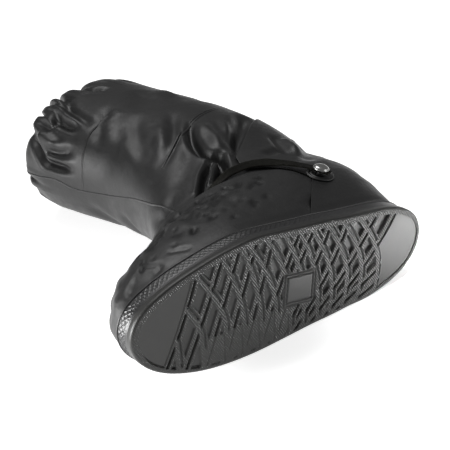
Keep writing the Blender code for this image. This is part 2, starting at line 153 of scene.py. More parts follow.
FLOOR_UP = Vector((0.037, 1.0, 0.0265)).normalized()  # straight up from the floor, in the shoe's frame
to_heel = Vector((-1.0, 0.0, 0.0))
to_heel = (to_heel - FLOOR_UP * to_heel.dot(FLOOR_UP)).normalized()
lying = np.array(Matrix((to_heel, FLOOR_UP.cross(to_heel), FLOOR_UP)))
panel_place = np.array(frame["record"]["mounts"][0]["pos_m"])
shoe_place = panel_place - lying @ np.array((*PANEL_CENTRE, 0.0)) * MM


def laid(points):
    """Points of the shoe as it lies on the floor, in metres. None is under the floor."""
    placed = points @ lying.T * MM + shoe_place
    placed[:, 2] = np.maximum(placed[:, 2], 0.0)
    return placed


def through(keys, values):
    """A smooth curve through a table's rows that never overshoots them."""
    keys = np.asarray(keys, float)
    values = np.asarray(values, float)
    secants = np.diff(values) / np.diff(keys)
    before, after = secants[:-1], secants[1:]
    same_way = before * after > 0
    inner = np.where(same_way, 2 * before * after / np.where(same_way, before + after, 1.0), 0.0)
    slopes = np.concatenate((secants[:1], inner, secants[-1:]))

    def curve(at):
        low = np.clip(np.searchsorted(keys, at, side="right") - 1, 0, len(keys) - 2)
        span = keys[low + 1] - keys[low]
        t = np.clip((at - keys[low]) / span, 0.0, 1.0)
        rise = values[low + 1] - values[low]
        bend = (1 - t) * (slopes[low] * span - rise) + t * (rise - slopes[low + 1] * span)
        return values[low] + t * rise + t * (1 - t) * bend

    return curve


def curves(rows, key=None):
    """One curve for each other column of a table, over the key column or over the row's number."""
    columns = dict(zip(rows[0]._fields, zip(*rows)))
    keys = columns.pop(key) if key else range(len(rows))
    return {name: through(keys, values) for name, values in columns.items()}


def mix(low, high, share):
    return low + (high - low) * share


def eased(share):
    """0 to 1 with a soft start and a soft end."""
    t = np.clip(share, 0.0, 1.0)
    return t * t * (3 - 2 * t)


outline_curves = curves(SOLE_OUTLINE, "station")
rim_curves = curves(SOLE_RIM, "turn")


def sole_edge(turn):
    station = (1 - np.cos(2 * np.pi * turn)) / 2
    half_width = BALL_HALF_WIDTH * outline_curves["fullness"](station) * np.sin(2 * np.pi * turn)
    return np.stack((SOLE_LENGTH * station, half_width + outline_curves["centre"](station)), axis=-1)


def inset_edge(turn, inset):
    step = 0.0005
    along = sole_edge(turn + step) - sole_edge(turn - step)
    along /= np.linalg.norm(along, axis=-1, keepdims=True)
    inward = np.stack((along[..., 1], -along[..., 0]), axis=-1)
    return sole_edge(turn) + inward * np.asarray(inset)[..., None]


def lift(x):
    """Rise of the sole towards the toe and, a little, at the heel."""
    toe = np.maximum(0.0, (x - TOE_SPRING_START) / (SOLE_LENGTH - TOE_SPRING_START))
    heel = np.maximum(0.0, (HEEL_RISE_END - x) / HEEL_RISE_END)
    return TOE_SPRING * toe ** 2 + HEEL_RISE * heel ** 2


def from_slant(slant, x, y):
    """Distance ahead of a slot's rear edge."""
    first, second, third = slant
    row = (SLANT_ROWS_Y[0] - y) / (SLANT_ROWS_Y[0] - SLANT_ROWS_Y[1])
    bend = third - 2 * second + first
    at = first + row * (second - first) + row * (row - 1) / 2 * bend
    slope = (second - first + (row - 0.5) * bend) / (SLANT_ROWS_Y[0] - SLANT_ROWS_Y[1])
    return (x - at) / np.hypot(1.0, slope)


def from_sweep(sweep, x, y):
    """Distance ahead of the groove of a sweeping band."""
    outer = np.maximum(y - SWEEP_MIDDLE_Y, 0.0) / SWEEP_OUTER
    inner = np.maximum(SWEEP_MIDDLE_Y - y, 0.0) / SWEEP_INNER
    at = sweep.x + sweep.outer_rise * outer ** SWEEP_BEND + sweep.inner_rise * inner ** SWEEP_BEND
    slope = SWEEP_BEND * (sweep.outer_rise * outer ** (SWEEP_BEND - 1) / SWEEP_OUTER
                          - sweep.inner_rise * inner ** (SWEEP_BEND - 1) / SWEEP_INNER)
    return (x - at) / np.hypot(1.0, slope)


def bell(distance, half_width):
    """1 at no distance, falling softly to nothing at about two half widths."""
    return np.exp(-(distance / half_width) ** 2)


def tread(x, y, from_edge, rim):
    """Depth of the tread below its faces, where its faces are hatched, and where it is polished smooth."""
    slants = np.array([from_slant(slant, x, y) for slant in SLANTS])
    sweeps = np.array([from_sweep(sweep, x, y) for sweep in SWEEPS])
    flush = (eased((FLUSH_Y - y) / FLUSH_RAMP) * eased((x - FLUSH_FROM_X) / FLUSH_RAMP)
             * eased((FLUSH_TO_X - x) / FLUSH_RAMP))
    slot_width = mix(SLANT_SLOT, FLUSH_SLOT, flush)
    slant_band = np.max(np.minimum(slants - slot_width, SLANT_BAND - slants), axis=0)
    sweep_band = np.max(np.minimum(sweeps - GROOVE_HALF_WIDTH, SWEEP_BAND - sweeps), axis=0)
    land = np.maximum(np.max(np.minimum(slants + RIB, SLANT_BAND - slants), axis=0),
                      np.max(np.minimum(sweeps + RIB, SWEEP_BAND - sweeps), axis=0))
    slot = eased(np.max(np.minimum(slants, slot_width - slants), axis=0) / (0.5 * WALL_SLOPE))
    slot *= (1 - eased(sweep_band / WALL_SLOPE)) * mix(SLOT_DEPTH, FLUSH_SLOT_DEPTH, flush)
    groove = bell(np.min(np.abs(sweeps), axis=0), GROOVE_HALF_WIDTH) * (1 - eased(slant_band / WALL_SLOPE))
    groove *= GROOVE_DEPTH * (1 - flush * eased((FLUSH_Y - FLUSH_GROOVE - y) / FLUSH_GROOVE_END))
    filled = bell(np.min(np.abs(sweeps - SWEEP_BAND), axis=0), THIN) * flush * FLUSH_LINE_DEPTH
    cell = eased(-land / WALL_SLOPE)
    well = mix(*WELL_DEPTHS, eased((x - WELL_CHANGE_X) / WELL_CHANGE_RUN)) * cell * (1 - flush)
    depth = np.maximum.reduce((well, slot, groove, filled))
    inside_rim = from_edge - rim["width"]
    toe_patch = slants[-1] - TOE_BAND
    heel_patch = np.minimum(-slants[HEEL_SLANT], -sweeps[0]) - HEEL_BORDER
    patch = eased(np.minimum(np.maximum(toe_patch, heel_patch), inside_rim) / WALL_SLOPE)
    turn = radians(PANEL_TURN)
    right, up = x - PANEL_CENTRE[0], y - PANEL_CENTRE[1]
    along = np.abs(right * np.cos(turn) + up * np.sin(turn))
    across = np.abs(up * np.cos(turn) - right * np.sin(turn))
    panel = np.minimum(PANEL_SIZE[0] / 2 - along, PANEL_SIZE[1] / 2 - across)
    covered = np.maximum.reduce((-inside_rim, slants[-1] - slot_width, heel_patch, panel))
    depth *= 1 - eased(covered / WALL_SLOPE + 0.5)
    depth += PATCH_DEPTH * patch
    bulge = np.clip(1 - ((x - HEEL_BULGE_X) / HEEL_BULGE_REACH) ** 2, 0.0, 1.0)
    depth -= HEEL_BULGE * bulge * eased(np.minimum(heel_patch, inside_rim) / WALL_SLOPE)
    rim_groove = RIM_GROOVE_DEPTH * bell(inside_rim - THIN, THIN)
    depth += rim_groove * rim["groove"] * np.maximum(cell, patch) * eased(inside_rim + 1)
    for groove_at in PANEL_GROOVES:
        depth += GROOVE_DEPTH * bell(panel - groove_at, THIN)
    plate = eased(panel - PANEL_PLATE)
    polished = np.maximum.reduce((patch, plate, np.clip(depth - POLISHED_FROM, 0.0, 1.0) * WELL_POLISH))
    hatched = np.maximum(1 - eased(depth / HATCHED_TO), flush * (depth < FLUSH_HATCHED_TO))
    return depth, hatched * (1 - patch) * (1 - eased(panel + 1)), polished


def quads(grid, closed=False):
    """Faces between the neighbours in a grid of point numbers, whose rows may close on themselves."""
    if closed:
        grid = np.column_stack((grid, grid[:, :1]))
    corners = (grid[:-1, :-1], grid[1:, :-1], grid[1:, 1:], grid[:-1, 1:])
    return np.stack([corner.ravel() for corner in corners], axis=1).tolist()


def tube(rings, sides):
    """Faces of rings of points that follow one another, with the first and the last ring filled in."""
    number = np.arange(rings * sides).reshape(rings, sides)
    return quads(number, closed=True) + [number[0].tolist(), number[-1].tolist()]


def travelled(points):
    """Distance along a line of points to each of them."""
    return np.concatenate(((0.0,), np.cumsum(np.linalg.norm(np.diff(points, axis=0), axis=1))))


def new_object(name, data):
    made = bpy.data.objects.new(name, data)
    bpy.context.scene.collection.objects.link(made)
    return made


def make(name, points, faces, finish, sharp_angle=None, **marks):
    """A piece from points in millimetres. Marks are numbers at each point for its finish to read."""
    mesh = bpy.data.meshes.new(name)
    mesh.from_pydata(laid(points).tolist(), [], faces)
    work = bmesh.new()
    work.from_mesh(mesh)
    bmesh.ops.recalc_face_normals(work, faces=work.faces)
    work.to_mesh(mesh)
    work.free()
    mesh.shade_smooth()
    if sharp_angle:
        mesh.set_sharp_from_angle(angle=radians(sharp_angle))
    for label, values in marks.items():
        marked = mesh.attributes.new(label, "FLOAT", "POINT")
        marked.data.foreach_set("value", np.asarray(values, np.float32))
    mesh.materials.append(finish)
    piece = new_object(name, mesh)
    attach(piece, "root")
    return piece


def add_node(tree, kind, values=(), **settings):
    node = tree.nodes.new(kind)
    for name, value in settings.items():
        setattr(node, name, value)
    for socket, value in dict(values).items():
        node.inputs[socket].default_value = value
    return node


def grain(tree, scale, detail=4.0):
    """Noise over the object, with about scale lumps in a metre."""
    place = add_node(tree, "ShaderNodeTexCoord")
    noise = add_node(tree, "ShaderNodeTexNoise", {"Scale": scale, "Detail": detail})
    tree.links.new(place.outputs["Object"], noise.inputs["Vector"])
    return noise.outputs["Fac"]


def remapped(tree, source, from_low, from_high, to_low, to_high):
    """A number carried from one range to another."""
    node = add_node(tree, "ShaderNodeMapRange", {1: from_low, 2: from_high, 3: to_low, 4: to_high})
    tree.links.new(source, node.inputs[0])
    return node.outputs[0]


def node_math(tree, operation, first, second=None):
    """A sum worked out in a material, from numbers or from other nodes."""
    node = add_node(tree, "ShaderNodeMath", operation=operation)
    for socket, value in zip(node.inputs, (first, second)):
        if isinstance(value, float):
            socket.default_value = value
        elif value is not None:
            tree.links.new(value, socket)
    return node.outputs[0]


def mark(tree, name):
    """The numbers that make() stored on the points under a name."""
    return add_node(tree, "ShaderNodeAttribute", attribute_name=name).outputs["Fac"]


def new_finish(name, dark, light, roughness, **sockets):
    """A shader whose colour and roughness vary a little over the surface."""
    finish = bpy.data.materials.new(name)
    finish.use_nodes = True
    tree = finish.node_tree
    shader = tree.nodes["Principled BSDF"]
    for socket, value in sockets.items():
        shader.inputs[socket.replace("_", " ")].default_value = value
    low, high = 0.3, 0.7  # where most of the noise lies
    ramp = add_node(tree, "ShaderNodeValToRGB")
    for stop, position, colour in zip(ramp.color_ramp.elements, (low, high), (dark, light)):
        stop.position = position
        stop.color = (*colour, 1.0)
    tree.links.new(grain(tree, 45.0), ramp.inputs["Fac"])
    tree.links.new(ramp.outputs["Color"], shader.inputs["Base Color"])
    rough = remapped(tree, grain(tree, 120.0), low, high, *roughness)
    tree.links.new(rough, shader.inputs["Roughness"])
    return finish, tree, shader


def emboss(tree, shader, heights):
    """Fine relief. Heights is pairs of a source and the distance, in millimetres, that it stands up."""
    last = None
    for source, distance in heights:
        bump = add_node(tree, "ShaderNodeBump", {"Strength": 1.0, "Distance": distance * MM})
        tree.links.new(source, bump.inputs["Height"])
        if last:
            tree.links.new(last, bump.inputs["Normal"])
        last = bump.outputs["Normal"]
    tree.links.new(last, shader.inputs["Normal"])


tread_rubber, tree, shader = new_finish(
    "tread_rubber", (0.011, 0.011, 0.0102), (0.015, 0.015, 0.0138), (0.42, 0.47), Specular_IOR_Level=0.5)
ribs = node_math(tree, "SINE", node_math(tree, "MULTIPLY", mark(tree, "hatch_phase"), 2 * np.pi))
ribs = node_math(tree, "MULTIPLY", ribs, mark(tree, "hatched"))
emboss(tree, shader, ((grain(tree, 1500.0), 0.04), (ribs, HATCH_HEIGHT)))
rough = node_math(tree, "MULTIPLY", mark(tree, "polished"), -POLISH)
rough = node_math(tree, "ADD", shader.inputs["Roughness"].links[0].from_socket, rough)
tree.links.new(rough, shader.inputs["Roughness"])

station = np.linspace(0.0, 1.0, SOLE_ROWS)
station = mix(station, (1 - np.cos(np.pi * station)) / 2, ENDS_CLOSER)
station = np.clip(station, TIP, 1 - TIP)
outer_turn = np.arccos(1 - 2 * station) / (2 * np.pi)
across = np.linspace(0.0, 1.0, SOLE_COLUMNS)
outer_edge = inset_edge(outer_turn, SOLE_EDGE[0][0])
inner_edge = inset_edge(1 - outer_turn, SOLE_EDGE[0][0])
ground = mix(outer_edge[:, None], inner_edge[:, None], across[None, :, None])
loop_turn = np.concatenate((
    outer_turn,
    mix(outer_turn[-1], 1 - outer_turn[-1], across[1:-1]),
    1 - outer_turn[::-1],
    mix(1 - outer_turn[0], 1 + outer_turn[0], across[1:-1]),
))
number = np.arange(ground[..., 0].size).reshape(SOLE_ROWS, SOLE_COLUMNS)
loop = np.concatenate((number[:, 0], number[-1, 1:-1], number[::-1, -1], number[0, -2:0:-1]))
flat = ground.reshape(-1, 2)
flat[loop] = inset_edge(loop_turn, SOLE_EDGE[0][0])
dense_turn = np.linspace(0.0, 1.0, EDGE_SAMPLES, endpoint=False)
nearest_edge = KDTree(len(dense_turn))
for i, (x, y) in enumerate(sole_edge(dense_turn)):
    nearest_edge.insert((x, y, 0.0), i)
nearest_edge.balance()
found = np.array([nearest_edge.find((x, y, 0.0))[1:] for x, y in flat])
rim = {name: curve(dense_turn[found[:, 0].astype(int)]) for name, curve in rim_curves.items()}
depth, hatched, polished = tread(flat[:, 0], flat[:, 1], found[:, 1], rim)
points = [np.column_stack((flat, depth + lift(flat[:, 0])))]
rings = [loop]
for inset, height in SOLE_EDGE[1:]:
    ring = inset_edge(loop_turn, inset)
    rings.append(len(flat) + (len(rings) - 1) * len(loop) + np.arange(len(loop)))
    points.append(np.column_stack((ring, height + lift(ring[:, 0]))))
points = np.concatenate(points)
top = rings[-1]
inner_start = SOLE_ROWS + SOLE_COLUMNS - 2
top_outer, top_inner = top[:SOLE_ROWS], top[inner_start:inner_start + SOLE_ROWS][::-1]
faces = quads(number) + quads(np.array(rings), closed=True) + quads(np.array((top_outer, top_inner)))
faces.append(top[SOLE_ROWS - 1:inner_start + 1].tolist())
faces.append([*top[inner_start + SOLE_ROWS - 1:].tolist(), int(top[0])])
hatch_phase = points[:, :2] @ np.array(HATCH_ACROSS) / HATCH_PITCH
on_ring = np.zeros(len(points) - len(flat))
polished = np.concatenate((polished, on_ring))
on_ring[:EDGE_HATCHED_ROWS * len(loop)] = EDGE_HATCHED
outsole = make("outsole_tread", points, faces, tread_rubber, hatched=np.concatenate((hatched, on_ring)),
               hatch_phase=hatch_phase, polished=polished)
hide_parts("outsole")

# Foxing band
# A strip of the same rubber round the edge of the sole, cemented to the foot of the upper. Above a plain
# foot a net of small raised ribs covers it, strongest round the toe, and a bead finishes its top.
FOXING_LOW = 7.1
FOXING_HIGH = 21.0
FOXING_INSET = 0.8
FOXING_THICKNESS = 3.4
BEAD = 1.6
NET_PITCH = 5.2
NET_HEIGHT = 0.55
NET_RIB = 0.42  # half width of a rib, as the sine of its share of the pitch
NET_LOW = 10.5
NET_LOW_FADE = 1.5
NET_HIGH = 20.4
NET_HIGH_FADE = 0.8
NET_AT_HEEL = 0.12  # share of the ribs' height at the heel, and the length over which they grow
NET_GROWS_FROM = 30.0
NET_GROWS_OVER = 180.0
FOXING_TURNS = 1200
FOXING_ROWS = 26
BEAD_ROWS = 8

band_rubber, tree, shader = new_finish(
    "band_rubber", (0.009, 0.009, 0.0094), (0.013, 0.013, 0.0133), (0.30, 0.42),
    Coat_Weight=0.15, Coat_Roughness=0.2)
emboss(tree, shader, ((grain(tree, 900.0), 0.05),))

turns = np.arange(FOXING_TURNS) / FOXING_TURNS
edge = sole_edge(turns)
along = travelled(edge)
round_sole = along[-1] + np.linalg.norm(edge[0] - edge[-1])
along *= round(round_sole / NET_PITCH) * NET_PITCH / round_sole
strength = mix(NET_AT_HEEL, 1.0, eased((edge[:, 0] - NET_GROWS_FROM) / NET_GROWS_OVER))
rows = []
for height in np.linspace(FOXING_LOW, FOXING_HIGH, FOXING_ROWS):
    one_way = np.abs(np.sin(np.pi * (along + height) / NET_PITCH))
    other_way = np.abs(np.sin(np.pi * (along - height) / NET_PITCH))
    net = 1 - np.minimum(one_way, other_way) / NET_RIB
    in_net = eased((height - NET_LOW) / NET_LOW_FADE) * eased((NET_HIGH - height) / NET_HIGH_FADE)
    rows.append((FOXING_INSET - NET_HEIGHT * strength * in_net * eased(net), height))
for angle in np.linspace(-0.4 * np.pi, 0.5 * np.pi, BEAD_ROWS):
    rows.append((FOXING_INSET - BEAD / 2 * np.cos(angle), FOXING_HIGH + BEAD / 2 * (1 + np.sin(angle))))
inside = FOXING_INSET + FOXING_THICKNESS
rows += [(inside, FOXING_HIGH + BEAD), (inside, FOXING_LOW)]
points = []
for inset, height in rows:
    ring = inset_edge(turns, np.broadcast_to(inset, turns.shape))
    points.append(np.column_stack((ring, height + lift(ring[:, 0]))))
number = np.arange(len(rows) * FOXING_TURNS).reshape(len(rows), FOXING_TURNS)
number = np.vstack((number, number[:1]))
foxing = make("foxing_net", np.concatenate(points), quads(number, closed=True), band_rubber, sharp_angle=50)
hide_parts("foxing_band")

# Upper
# Foot and shaft of black coated sheet, welded into one hollow form whose foot is cemented into the sole.
# The slack shaft has fallen into folds over the ankle, and elastic in the hem gathers its mouth.
WALL = 1.5
WELT_INSET = 4.55
PANEL_LOW = 23.3
SPRING_FADE = 42.0  # height over which the spring of the sole fades out of the upper
SQUARENESS = 2.35  # exponent of the rounded sections, 2 being an ellipse
REST_TWIST = -0.037  # the floor's y for each millimetre of x, and of z
REST_LEAN = -0.0265
REST_SOFTNESS = 0.7
SOLE_CONTACT_HEIGHT = 2.5
UPPER_SECTIONS = table(
    "back back_height front front_height half_width centre oval",
    (4.55, 7.35, 300.45, 7.35, 47.85, 0, 0),
    (4.55, 23.3, 300.45, 23.3, 47.85, 0, 0),
    (0, 38, 299, 36, 49, 0.5, 0.12),
    (-4, 55, 293, 50, 49.5, 1, 0.30),
    (-8, 72, 283, 63, 48.5, 2, 0.48),
    (-11, 90, 268, 74, 47.5, 2.5, 0.64),
    (-11.2, 108, 250, 84, 46, 2.5, 0.78),
    (-8.6, 124, 230, 97, 44.5, 2, 0.88),
    (-6.2, 140, 211, 113, 44.5, 1.5, 0.95),
    (-6, 157, 195, 132, 46, 1, 1),
    (-9, 177, 182, 157, 49.5, 0, 1),
    (-10, 202, 168, 188, 54, 0, 1),
    (-8, 236, 162, 224, 58.5, 0, 1),
    (-3, 273, 162, 260, 60, 0, 1),
    (13, 346, 177, 329, 61, 0, 1),
    (19, 378, 182, 357, 61, 0, 1),
    (24, 399, 181, 375, 58, 0, 1),
    (33, 413, 174, 387, 51, 0, 1),
    (45, 420, 162, 394, 43, 0, 1),
)
HEM = len(UPPER_SECTIONS) - 1.0
TOP_EDGE = "station height"
SIDE_EDGE = "height station"
VAMP_TOP = table(
    TOP_EDGE,
    (62, 76), (67, 92), (80, 107), (100, 115.5), (125, 116), (150, 114.5),
    (172, 112), (190, 120), (201, 131),
)
HEEL_FRONT = table(
    SIDE_EDGE,
    (PANEL_LOW, 105), (71, 64.3), (76, 60), (97, 64.5), (115, 77), (127, 95),
    (150, 88.5),
)
HEEL_TOP = table(
    TOP_EDGE,
    (-14, 240), (3, 226), (60, 174), (88.5, 150),
)

# A fold is a trough where its depth is above zero, and a ridge where it is below. Routes are turn, height.
FOLD = "depth half_width route"
ANKLE_FOLDS = table(
    FOLD,
    (8, 4.4, ((88, 237), (96, 218), (101, 200), (102, 184), (99, 170), (95, 163), (94, 154),
              (95, 145), (98, 134), (101, 120), (104, 102))),
    (9, 3.2, ((94, 166), (99, 160), (102, 154), (107, 144), (110, 132), (113, 115), (115, 100))),
    (7, 3, ((96, 172), (94, 160), (95, 146), (98, 134), (101, 120), (104, 102), (106, 90))),
    (-2.5, 3, ((97, 156), (101, 146), (104, 131), (107, 118), (109, 104))),
    (-5, 9, ((89, 226), (90, 212), (91, 198), (91, 180), (90, 165), (90, 155))),
    (-3, 4.5, ((76, 221), (82, 196), (86, 176), (89, 162), (92, 150), (96, 137))),
    (9, 8.5, ((48, 230), (57, 219), (67, 203), (79, 182), (86, 166), (90, 151))),
    (2, 9, ((97, 212), (100, 203), (115, 173), (126, 153), (134, 142))),
    (3, 8, ((128, 152), (146, 134), (161, 147), (175, 160))),
    (3.5, 9, ((-48, 176), (-20, 188), (10, 196), (38, 202))),
    (-2.5, 9, ((-40, 200), (0, 212), (36, 220))),
    (4, 8, ((214, 176), (232, 160), (250, 152))),
    (-3, 8, ((216, 196), (240, 180))),
)
SHAFT_FOLDS = table(
    FOLD,
    (3.2, 6.5, ((88, 264), (91, 257), (110, 217), (129, 194), (135, 188))),
    (-1.6, 8, ((104, 250), (107, 241), (118, 220), (124, 212))),
    (1.4, 6.5, ((118, 242), (120, 237), (125, 222), (133, 211), (138, 206))),
    (2.4, 7.5, ((101, 285), (113, 269), (125, 246), (135, 226), (142, 210))),
    (1.2, 5.5, ((117, 287), (119, 283), (131, 267), (135, 262))),
    (3.2, 5, ((101, 321), (106, 316), (114, 308), (128, 298), (141, 289), (148, 284))),
    (-2, 5, ((102, 310), (107, 306), (121, 299), (128, 293))),
    (2.4, 12, ((72, 336), (76, 329), (95, 293), (99, 284))),
    (-2.4, 13, ((84, 314), (79, 314), (67, 314), (58, 314))),
    (2.4, 8, ((20, 262), (42, 280), (60, 290))),
    (-2, 9, ((-30, 300), (6, 290), (30, 300))),
    (2.8, 8, ((196, 300), (214, 276), (230, 262))),
    (2.4, 7, ((190, 246), (206, 232), (222, 226))),
)
CUFF_FOLDS = table(
    FOLD,
    (4.5, 4, ((92, 402), (92, 389), (91, 372), (87, 361), (84, 354))),
    (4.5, 4.5, ((108, 402), (108, 390), (107, 379), (107, 368), (107, 360))),
    (4, 5, ((110, 372), (112, 365), (119, 347), (122, 333), (125, 314), (127, 306))),
    (7, 4.5, ((120, 362), (123, 359), (129, 351), (131, 340), (132, 327), (132, 318))),
    (-3.5, 6, ((111, 394), (113, 386), (124, 346), (127, 321), (128, 312))),
    (4.5, 4, ((137, 388), (137, 378), (139, 357), (135, 353), (127, 361), (120, 364), (116, 364))),
    (7.5, 4.2, ((152, 380), (154, 371), (157, 364), (164, 355), (171, 343), (171, 329), (171, 311),
                (171, 304))),
    (-4, 6, ((146, 368), (148, 361), (150, 350), (153, 340), (155, 332))),
    (5, 5, ((157, 350), (159, 343), (160, 331), (155, 319), (151, 312))),
)
FOLD_END = 0.28  # share of a fold's length over which each end runs out
FOLD_REACH = 3.5  # half widths from its route to where a fold is no longer felt
LIP = 0.12  # height of the soft lips beside a trough, as a share of its depth
LIP_AT = 1.9  # where they stand, and how wide they are, in half widths
LIP_WIDTH = 0.8
GATHERS = 18
GATHER_HEIGHT = 3.4
GATHER_FROM = 13.9  # climb at which the longest gathers run out
GATHER_SHORTER = 1.6  # how much further up the shortest do
GATHER_SHUFFLE = 2.63  # puts long and short ones in an uneven order
GATHER_FULL = HEM - 0.6
GATHER_WANDER = ((0.45, 3, 0.1), (0.25, 5, 0.3))  # uneven spacing: by how much, how often, from where
CREASE_DEPTH = 2.2
CREASE_HALF_WIDTH = 0.42
EDGE_FADE = 5.0  # width over which folds run out at a panel's edge
STRAP_FADE = 14.0  # distance above the vamp where ridges begin to run out, so the strap lies flat
COVERED_LOSS = 0.6  # share of its depth that a trough loses under a panel
UNDER_PANEL = 2.9  # how far the upper is pressed in under the panels, to leave their dents room
PRESSED_FROM = 22.0  # height above the sole's face where that begins
PRESSED_RAMP = 5.0
UPPER_TURNS = 360
CLOSER_TURN = 0.31  # the turn, on the outer side, where the mesh is finest
CLOSER = 0.42
UPPER_CLIMBS = (np.linspace(0.0, 4.0, 12), np.linspace(4.06, HEM, 198))
INSIDE_TURNS = 120
INSIDE_CLIMBS = 56
INSIDE_WIDENED = 1.5  # how much wider the folds are on the inside
CONTACT_SAMPLES = 56
HALVINGS = 28
SHEET_GLOSS = 0.5

section_curves = curves(UPPER_SECTIONS)
dense_edge = sole_edge(np.linspace(0.0, 1.0, CONTACT_SAMPLES, endpoint=False))
rest_offset = np.min(dense_edge[:, 1] - REST_TWIST * dense_edge[:, 0]
                     - REST_LEAN * (SOLE_CONTACT_HEIGHT + lift(dense_edge[:, 0])))


def rounded(value):
    return np.sign(value) * np.abs(value) ** (2 / SQUARENESS)


def upper_point(turn, climb):
    """Outside of the slack upper before it folds. Climb counts the sections, from 0 at the sole."""
    row = {name: curve(climb) for name, curve in section_curves.items()}
    foot = inset_edge(turn, WELT_INSET)
    welt = UPPER_SECTIONS[0]
    foot_share = (foot[..., 0] - welt.back) / (welt.front - welt.back)
    share = mix(foot_share, (1 - rounded(np.cos(2 * np.pi * turn))) / 2, row["oval"])
    side = mix(foot[..., 1] / welt.half_width, rounded(np.sin(2 * np.pi * turn)), row["oval"])
    x = mix(row["back"], row["front"], share)
    y = side * row["half_width"] + row["centre"]
    z = mix(row["back_height"], row["front_height"], share)
    z = z + lift(x) * np.maximum(0.0, 1 - np.maximum(0.0, z - FOXING_HIGH) / SPRING_FADE)
    floor = rest_offset + REST_TWIST * x + REST_LEAN * z
    y = floor + REST_SOFTNESS * np.logaddexp(0.0, (y - floor) / REST_SOFTNESS)
    return np.stack((x, y, z), axis=-1)


def unit(vectors):
    return vectors / np.linalg.norm(vectors, axis=-1, keepdims=True)


def upper_normal(turn, climb):
    up_step, turn_step = 0.02, 0.002
    above = upper_point(turn, np.minimum(climb + up_step, HEM))
    below = upper_point(turn, np.maximum(climb - up_step, 0.0))
    along = upper_point(turn + turn_step, climb) - upper_point(turn - turn_step, climb)
    return unit(np.cross(above - below, along))


def solve(rising, low, high):
    """Where rising functions pass zero, one for each place in the arrays low and high."""
    for _ in range(HALVINGS):
        middle = (low + high) / 2
        below = rising(middle) < 0
        low = np.where(below, middle, low)
        high = np.where(below, high, middle)
    return (low + high) / 2


def climb_at(turn, height):
    turn, height = np.broadcast_arrays(turn, height)
    return solve(lambda climb: upper_point(turn, climb)[..., 2] - height,
                 np.zeros(turn.shape), np.full(turn.shape, HEM))


def smooth_route(route, steps=9):
    """Turns and climbs close together along a route of turns in degrees and heights."""
    turns, heights = zip(*route)
    knots = np.arange(len(route))
    at = np.linspace(0.0, len(route) - 1.0, steps * (len(route) - 1) + 1)
    turn = through(knots, turns)(at) / 360
    return turn, climb_at(turn, through(knots, heights)(at))


def beside_route(points, line):
    """Each point's distance from a line of points, and the share of the line at its nearest place."""
    steps = np.diff(line, axis=0)
    lengths = np.linalg.norm(steps, axis=1)
    starts = travelled(line)
    distance = np.full(len(points), np.inf)
    share = np.zeros(len(points))
    for i, step in enumerate(steps):
        reach = np.clip((points - line[i]) @ step / (step @ step), 0.0, 1.0)
        gap = np.linalg.norm(points - line[i] - reach[:, None] * step, axis=1)
        closer = gap < distance
        distance = np.where(closer, gap, distance)
        share = np.where(closer, (starts[i] + reach * lengths[i]) / starts[-1], share)
    return distance, share


def folded(points, folds, widened=1.0):
    """How far folds push each point out. When widened, for the inside, there are no lips and no ridges."""
    out = np.zeros(len(points))
    for fold in folds:
        if widened > 1.0 and fold.depth < 0:
            continue
        half_width = fold.half_width * widened
        line = upper_point(*smooth_route(fold.route))
        reach = FOLD_REACH * half_width
        near = ((points > line.min(axis=0) - reach) & (points < line.max(axis=0) + reach)).all(axis=1)
        near = np.flatnonzero(near)
        distance, share = beside_route(points[near], line)
        fade = eased(share / FOLD_END) * eased((1 - share) / FOLD_END)
        across = distance / half_width
        lips = LIP * bell(across - LIP_AT, LIP_WIDTH) if widened == 1.0 else 0.0
        out[near] -= fold.depth * fade * (np.exp(-across ** 2) - lips)
    return out


def gathered(turn, climb):
    """Puckers at the hem, round on top with a tight crease between, each running out at its own length."""
    phase = GATHERS * turn
    for amount, times, shift in GATHER_WANDER:
        phase = phase + amount * np.sin(2 * np.pi * (times * turn + shift))
    pucker = 1 - CREASE_DEPTH * bell(np.sin(np.pi * phase), CREASE_HALF_WIDTH)
    shorter = 0.5 + 0.5 * np.sin(2 * np.pi * (GATHER_SHUFFLE * np.floor(phase + 0.5)))
    start = GATHER_FROM + GATHER_SHORTER * shorter
    return GATHER_HEIGHT * pucker * eased((climb - start) / (GATHER_FULL - start))


vamp_top = curves(VAMP_TOP, "station")["height"]
heel_front = curves(HEEL_FRONT, "height")["station"]
heel_top = curves(HEEL_TOP, "station")["height"]
UPPER_FOLDS = ANKLE_FOLDS + SHAFT_FOLDS + CUFF_FOLDS


def upper_out(turn, climb, widened=1.0):
    """How far the folded upper stands out from its slack form. Panels press it in."""
    points = upper_point(turn, climb)
    out = folded(points, UPPER_FOLDS, widened) + gathered(turn, climb)
    x, z = points[:, 0], points[:, 2]
    below_vamp = vamp_top(x) - z
    before_heel = heel_front(z) - x
    below_heel = heel_top(x) - z
    covered = np.maximum(eased(below_vamp / EDGE_FADE),
                         eased(before_heel / EDGE_FADE) * eased(below_heel / EDGE_FADE))
    near = np.maximum(eased((below_vamp + STRAP_FADE) / EDGE_FADE),
                      eased(1 + before_heel / EDGE_FADE) * eased(1 + below_heel / EDGE_FADE))
    out = np.where(out > 0, out * (1 - near), out * (1 - COVERED_LOSS * covered))
    return out - UNDER_PANEL * covered * eased((z - lift(x) - PRESSED_FROM) / PRESSED_RAMP)


def folded_point(turn, climb, stand_off=0.0, widened=1.0):
    out = upper_out(turn, climb, widened) + stand_off
    return upper_point(turn, climb) + upper_normal(turn, climb) * out[:, None]


